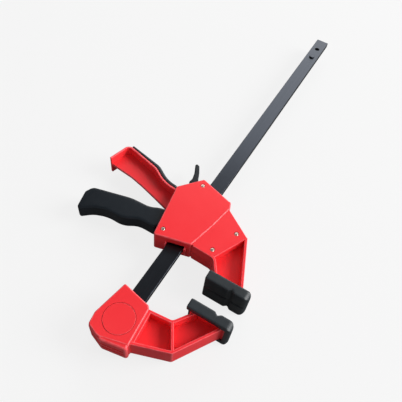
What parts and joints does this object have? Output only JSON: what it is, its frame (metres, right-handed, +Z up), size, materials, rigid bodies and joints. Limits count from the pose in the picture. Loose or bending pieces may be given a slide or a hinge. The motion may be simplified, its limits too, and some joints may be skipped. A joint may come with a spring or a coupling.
{
  "type": "f clamp",
  "caption": "Trigger bar clamp lying on its side: a fixed jaw on the end of a steel bar, and a sliding head with a padded jaw, pistol handle, squeeze trigger and release lever.",
  "frame": {"origin": "centre of the bounding box's base, with the clamp lying flat on its side on the edges of its pads", "axes": "+X along the bar from the fixed jaw to its free end, +Y across the bar towards the handle, +Z up, square to the clamp's broad side"},
  "size_m": [0.6344, 0.2494, 0.046],
  "materials": {
    "red_nylon": "satin",
    "black_nylon": "satin",
    "black_rubber": "matte",
    "blackened_steel": "satin",
    "plated_steel": "satin"
  },
  "bodies": {
    "bar_and_fixed_jaw": {"bar": "blackened_steel", "stop_pin": "blackened_steel", "fixed_jaw": "red_nylon", "jaw_cap_front": "red_nylon", "jaw_cap_back": "red_nylon", "jaw_pin": "plated_steel", "fixed_pad": "black_rubber"},
    "head": {"head_front_shell": "red_nylon", "head_back_shell": "red_nylon", "shell_screw_1": "plated_steel", "shell_screw_2": "plated_steel", "shell_screw_3": "plated_steel", "shell_screw_4": "plated_steel", "palm_grip": "black_rubber", "moving_pad": "black_rubber", "bar_guide": "plated_steel", "trigger_pin": "plated_steel", "drive_spring": "plated_steel", "brake_spring": "plated_steel"},
    "trigger": {"trigger": "black_nylon"},
    "drive": {"drive_plate_1": "plated_steel", "drive_plate_2": "plated_steel"},
    "release": {"brake_plate": "plated_steel", "release_lever": "black_nylon"}
  },
  "joints": [
    {"name": "head_slide", "type": "slide", "parent": "bar_and_fixed_jaw", "child": "head", "axis": [1, 0, 0], "range_m": [-0.0272, 0.3424]},
    {"name": "trigger_squeeze", "type": "hinge", "parent": "head", "child": "trigger", "pos_m": [-0.14582, -0.03115, 0.023], "axis": [0, 0, -1], "range_deg": [0, 13], "stiffness_Nm_per_rad": 0.8, "springref_deg": -11.46},
    {"name": "drive_slide", "type": "slide", "parent": "head", "child": "drive", "axis": [1, 0, 0], "range_m": [0, 0.007], "deforming": ["drive_spring"]},
    {"name": "release_press", "type": "hinge", "parent": "head", "child": "release", "pos_m": [-0.10432, -0.03315, 0.023], "axis": [0, 0, -1], "range_deg": [0, 5], "stiffness_Nm_per_rad": 0.6, "springref_deg": -17.19}
  ],
  "couplings": [
    {"joint": "drive_slide", "follows": "trigger_squeeze", "m_per_rad": 0.0305}
  ]
}
